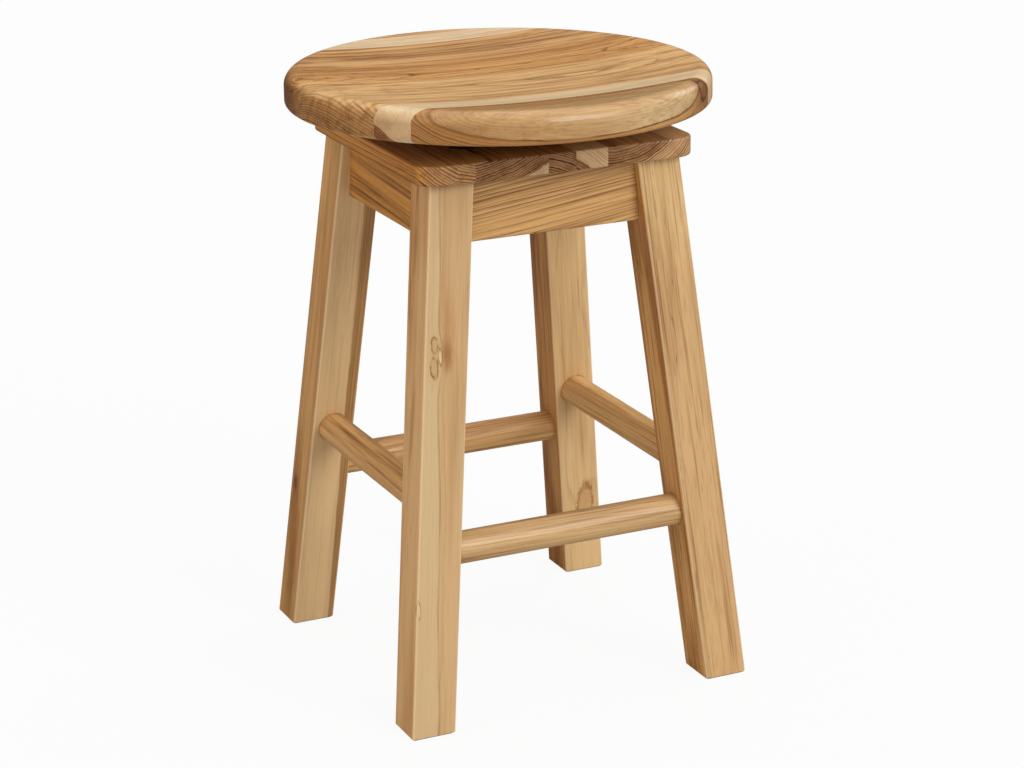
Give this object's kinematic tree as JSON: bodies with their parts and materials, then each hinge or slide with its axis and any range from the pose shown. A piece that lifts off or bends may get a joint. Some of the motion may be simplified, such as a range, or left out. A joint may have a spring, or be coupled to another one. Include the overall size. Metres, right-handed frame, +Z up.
{
  "type": "swivel counter stool",
  "caption": "Backless swivel stool in solid hickory: dished round seat on a ball-bearing swivel plate, square base board, splayed square legs, tenoned aprons and round dowel stretchers.",
  "frame": {"origin": "on the floor, under the swivel axis and midway between the four feet", "axes": "+Z up along the swivel axis, -Y towards the front apron, +X to the right seen from the front"},
  "size_m": [0.42, 0.42, 0.61],
  "materials": {
    "seat_heartwood": "hickory heartwood under a clear satin finish",
    "seat_sapwood": "pale hickory sapwood under a clear satin finish",
    "board_wood": "glued-up hickory staves with strong end grain, clear satin finish",
    "leg_wood": "hickory with sapwood, heartwood streaks and small knots, clear satin finish",
    "apron_wood": "straight-grained hickory, clear satin finish",
    "stretcher_wood": "turned hickory dowel, clear satin finish",
    "block_wood": "sawn and unfinished hardwood",
    "black_steel": "black coated pressed steel",
    "bearing_steel": "greased bearing steel",
    "zinc_screw": "zinc-plated steel"
  },
  "bodies": {
    "base": {"board_stave_left": "board_wood", "board_stave_second": "board_wood", "board_stave_third": "board_wood", "board_stave_fourth": "board_wood", "board_stave_right": "board_wood", "leg_front_left": "leg_wood", "leg_front_right": "leg_wood", "leg_back_right": "leg_wood", "leg_back_left": "leg_wood", "apron_front": "apron_wood", "apron_right": "apron_wood", "apron_back": "apron_wood", "apron_left": "apron_wood", "stretcher_front": "stretcher_wood", "stretcher_back": "stretcher_wood", "stretcher_left": "stretcher_wood", "stretcher_right": "stretcher_wood", "corner_block_front_left": "block_wood", "corner_block_front_right": "block_wood", "corner_block_back_right": "block_wood", "corner_block_back_left": "block_wood", "block_screw_front_left_a": "zinc_screw", "block_screw_front_left_b": "zinc_screw", "block_screw_front_right_a": "zinc_screw", "block_screw_front_right_b": "zinc_screw", "block_screw_back_right_a": "zinc_screw", "block_screw_back_right_b": "zinc_screw", "block_screw_back_left_a": "zinc_screw", "block_screw_back_left_b": "zinc_screw", "board_screw_front_left": "zinc_screw", "board_screw_front_right": "zinc_screw", "board_screw_back_right": "zinc_screw", "board_screw_back_left": "zinc_screw", "swivel_lower_plate": "black_steel", "swivel_centre_rivet": "zinc_screw"},
    "seat": {"seat_stave_front_cap": "seat_heartwood", "seat_stave_front_pale": "seat_sapwood", "seat_stave_front_field": "seat_heartwood", "seat_stave_middle_field": "seat_heartwood", "seat_stave_rear_field": "seat_heartwood", "seat_stave_rear_pale": "seat_sapwood", "seat_stave_rear_cap": "seat_heartwood", "seat_screw_front_left": "zinc_screw", "seat_screw_front_right": "zinc_screw", "seat_screw_back_right": "zinc_screw", "seat_screw_back_left": "zinc_screw", "swivel_upper_plate": "black_steel"},
    "ball_race": {"ball_cage": "bearing_steel", "bearing_ball_01": "bearing_steel", "bearing_ball_02": "bearing_steel", "bearing_ball_03": "bearing_steel", "bearing_ball_04": "bearing_steel", "bearing_ball_05": "bearing_steel", "bearing_ball_06": "bearing_steel", "bearing_ball_07": "bearing_steel", "bearing_ball_08": "bearing_steel", "bearing_ball_09": "bearing_steel", "bearing_ball_10": "bearing_steel"}
  },
  "joints": [
    {"name": "seat_swivel", "type": "hinge", "parent": "base", "child": "seat", "pos_m": [0, 0, 0.566], "axis": [0, 0, 1], "continuous": true},
    {"name": "ball_race_roll", "type": "hinge", "parent": "base", "child": "ball_race", "pos_m": [0, 0, 0.566], "axis": [0, 0, 1], "continuous": true}
  ],
  "couplings": [
    {"joint": "ball_race_roll", "follows": "seat_swivel", "ratio": 0.5}
  ]
}
